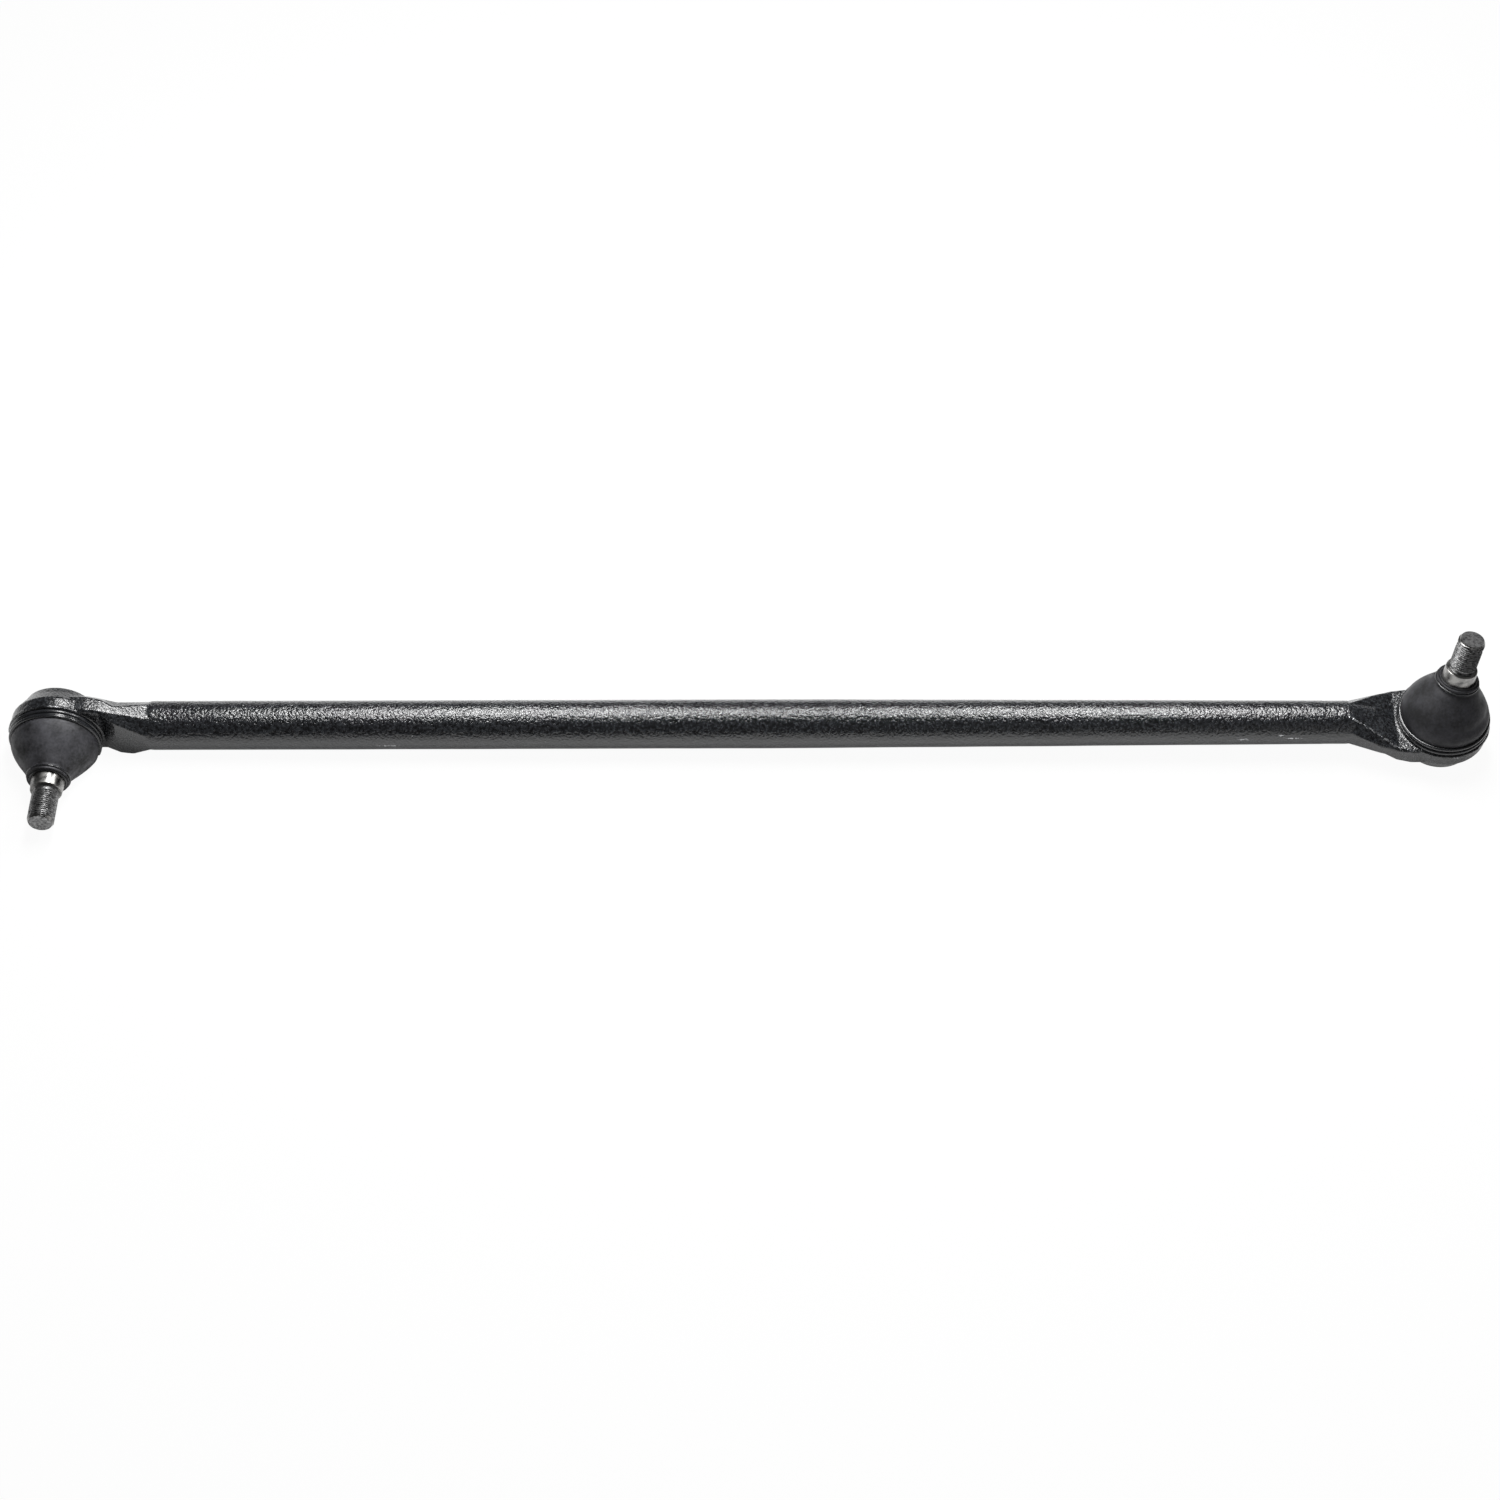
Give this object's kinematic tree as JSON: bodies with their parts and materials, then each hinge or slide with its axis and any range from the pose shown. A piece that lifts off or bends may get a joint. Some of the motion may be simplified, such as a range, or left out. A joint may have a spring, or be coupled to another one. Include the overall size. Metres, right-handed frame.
{
  "type": "steering drag link",
  "caption": "Round forged steel drag link with a ball stud socket at each end, the sockets a quarter turn apart, with rubber dust boots.",
  "frame": {"origin": "centre of the flat outer face of the right end cover", "axes": "+X along the bar towards the right end, +Z along the right socket's axis towards its stud, -Y the way the left socket faces"},
  "size_m": [0.887, 0.1017, 0.0966],
  "materials": {
    "black_painted_forging": "semi-gloss black paint over a forged skin",
    "black_painted_sheet": "semi-gloss black paint on pressed steel",
    "bare_steel": "turned bright on the taper, dark phosphate on the thread",
    "hardened_steel": "oiled hardened steel",
    "sintered_bearing": "oil-soaked sintered iron",
    "rubber": "matte moulded black rubber",
    "hard_plastic": "moulded black nylon"
  },
  "bodies": {
    "link": {"forged_link": "black_painted_forging", "left_end_cover": "black_painted_sheet", "left_preload_spring": "hardened_steel", "left_pressure_washer": "hardened_steel", "right_end_cover": "black_painted_sheet", "right_preload_spring": "hardened_steel", "right_pressure_washer": "hardened_steel"},
    "left_swivel": {"left_upper_bearing": "sintered_bearing", "left_lower_bearing": "sintered_bearing", "left_boot_base_ring": "black_painted_sheet", "left_dust_boot": "rubber"},
    "left_tilt": {"left_boot_neck_ring": "black_painted_sheet", "left_boot_neck_bush": "hard_plastic"},
    "left_stud": {"left_ball_stud": "bare_steel"},
    "right_swivel": {"right_upper_bearing": "sintered_bearing", "right_lower_bearing": "sintered_bearing", "right_boot_base_ring": "black_painted_sheet", "right_dust_boot": "rubber"},
    "right_tilt": {"right_boot_neck_ring": "black_painted_sheet", "right_boot_neck_bush": "hard_plastic"},
    "right_stud": {"right_ball_stud": "bare_steel"}
  },
  "joints": [
    {"name": "left_heading", "type": "hinge", "parent": "link", "child": "left_swivel", "pos_m": [-0.83, -0.005, 0.0201], "axis": [0, -1, 0], "continuous": true},
    {"name": "left_lean", "type": "hinge", "parent": "left_swivel", "child": "left_tilt", "pos_m": [-0.83, -0.005, 0.0201], "axis": [-0.9816, 0, -0.1908], "range_deg": [-24.1, 19.9], "deforming": ["left_dust_boot"]},
    {"name": "left_spin", "type": "hinge", "parent": "left_tilt", "child": "left_stud", "pos_m": [-0.83, -0.005, 0.0201], "axis": [-0.007, -0.9993, 0.036], "continuous": true},
    {"name": "right_heading", "type": "hinge", "parent": "link", "child": "right_swivel", "pos_m": [0, 0, 0.0201], "axis": [0, 0, 1], "continuous": true},
    {"name": "right_lean", "type": "hinge", "parent": "right_swivel", "child": "right_tilt", "pos_m": [0, 0, 0.0201], "axis": [-0.809, 0.5878, 0], "range_deg": [-32.6, 11.4], "deforming": ["right_dust_boot"]},
    {"name": "right_spin", "type": "hinge", "parent": "right_tilt", "child": "right_stud", "pos_m": [0, 0, 0.0201], "axis": [0.1081, 0.1488, 0.9829], "continuous": true}
  ]
}
